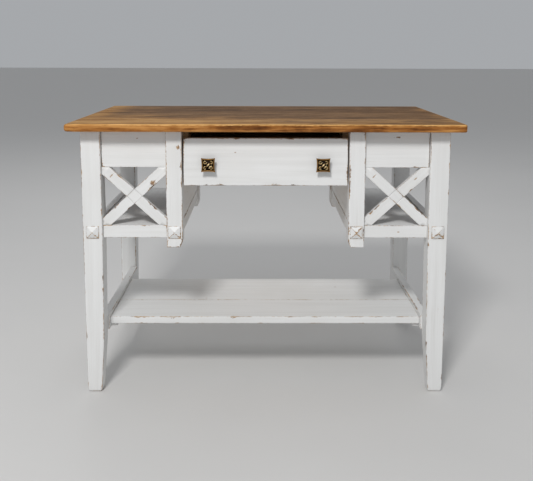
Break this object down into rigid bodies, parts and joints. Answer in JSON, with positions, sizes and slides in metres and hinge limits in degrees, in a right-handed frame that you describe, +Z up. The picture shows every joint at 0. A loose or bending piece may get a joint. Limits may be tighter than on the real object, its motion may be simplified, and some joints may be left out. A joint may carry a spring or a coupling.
{
  "type": "desk",
  "caption": "Plank-topped painted farmhouse desk with a centre drawer that slides, open cubbies closed in front by crossed braces, tapered legs and a low shelf between the stretchers.",
  "frame": {"origin": "on the floor, under the middle of the top", "axes": "+X along the desk to the right of someone sitting at it, +Y from the front, where the drawer is, to the back, +Z up"},
  "size_m": [1.066, 0.66, 0.762],
  "materials": {
    "stained_top": "grey-brown stain worn back to orange wood on the edges, matt",
    "white_paint": "brushed white paint, rubbed through to tan wood on the edges, eggshell",
    "bare_wood": "planed, unfinished",
    "antique_brass": "cast, dark patina in the hollows and bright on the raised edges",
    "screw_steel": "zinc plated"
  },
  "bodies": {
    "frame": {"apron_back_centre": "white_paint", "apron_back_left": "white_paint", "apron_back_right": "white_paint", "apron_front_left": "white_paint", "apron_front_right": "white_paint", "apron_side_left": "white_paint", "apron_side_right": "white_paint", "brace_falling_left": "white_paint", "brace_falling_right": "white_paint", "brace_rising_left": "white_paint", "brace_rising_right": "white_paint", "corner_blocks": "bare_wood", "cubby_floor_left": "white_paint", "cubby_floor_right": "white_paint", "drawer_kicker_left": "bare_wood", "drawer_kicker_right": "bare_wood", "drawer_runner_left": "bare_wood", "drawer_runner_right": "bare_wood", "drawer_stop": "bare_wood", "leg_back_left": "white_paint", "leg_back_right": "white_paint", "leg_front_left": "white_paint", "leg_front_right": "white_paint", "lower_rail_back_left": "white_paint", "lower_rail_back_right": "white_paint", "lower_rail_front_left": "white_paint", "lower_rail_front_right": "white_paint", "lower_rail_inner_left": "white_paint", "lower_rail_inner_right": "white_paint", "lower_rail_outer_left": "white_paint", "lower_rail_outer_right": "white_paint", "post_back_left": "white_paint", "post_back_right": "white_paint", "post_front_left": "white_paint", "post_front_right": "white_paint", "pyramid_blocks": "white_paint", "shelf_batten": "white_paint", "shelf_board_back": "white_paint", "shelf_board_front": "white_paint", "shelf_cleat_left": "white_paint", "shelf_cleat_right": "white_paint", "side_panel_left": "white_paint", "side_panel_right": "white_paint", "stretcher_left": "white_paint", "stretcher_right": "white_paint", "top_board_1": "stained_top", "top_board_2": "stained_top", "top_board_3": "stained_top", "top_board_4": "stained_top", "top_board_5": "stained_top", "wood_screws": "screw_steel"},
    "drawer": {"drawer_front": "white_paint", "drawer_side_left": "bare_wood", "drawer_side_right": "bare_wood", "drawer_back": "bare_wood", "drawer_bottom": "bare_wood", "knob_left": "antique_brass", "knob_right": "antique_brass", "knob_screws": "screw_steel"}
  },
  "joints": [
    {"name": "drawer_slide", "type": "slide", "parent": "frame", "child": "drawer", "axis": [0, -1, 0], "range_m": [0, 0.3]}
  ]
}
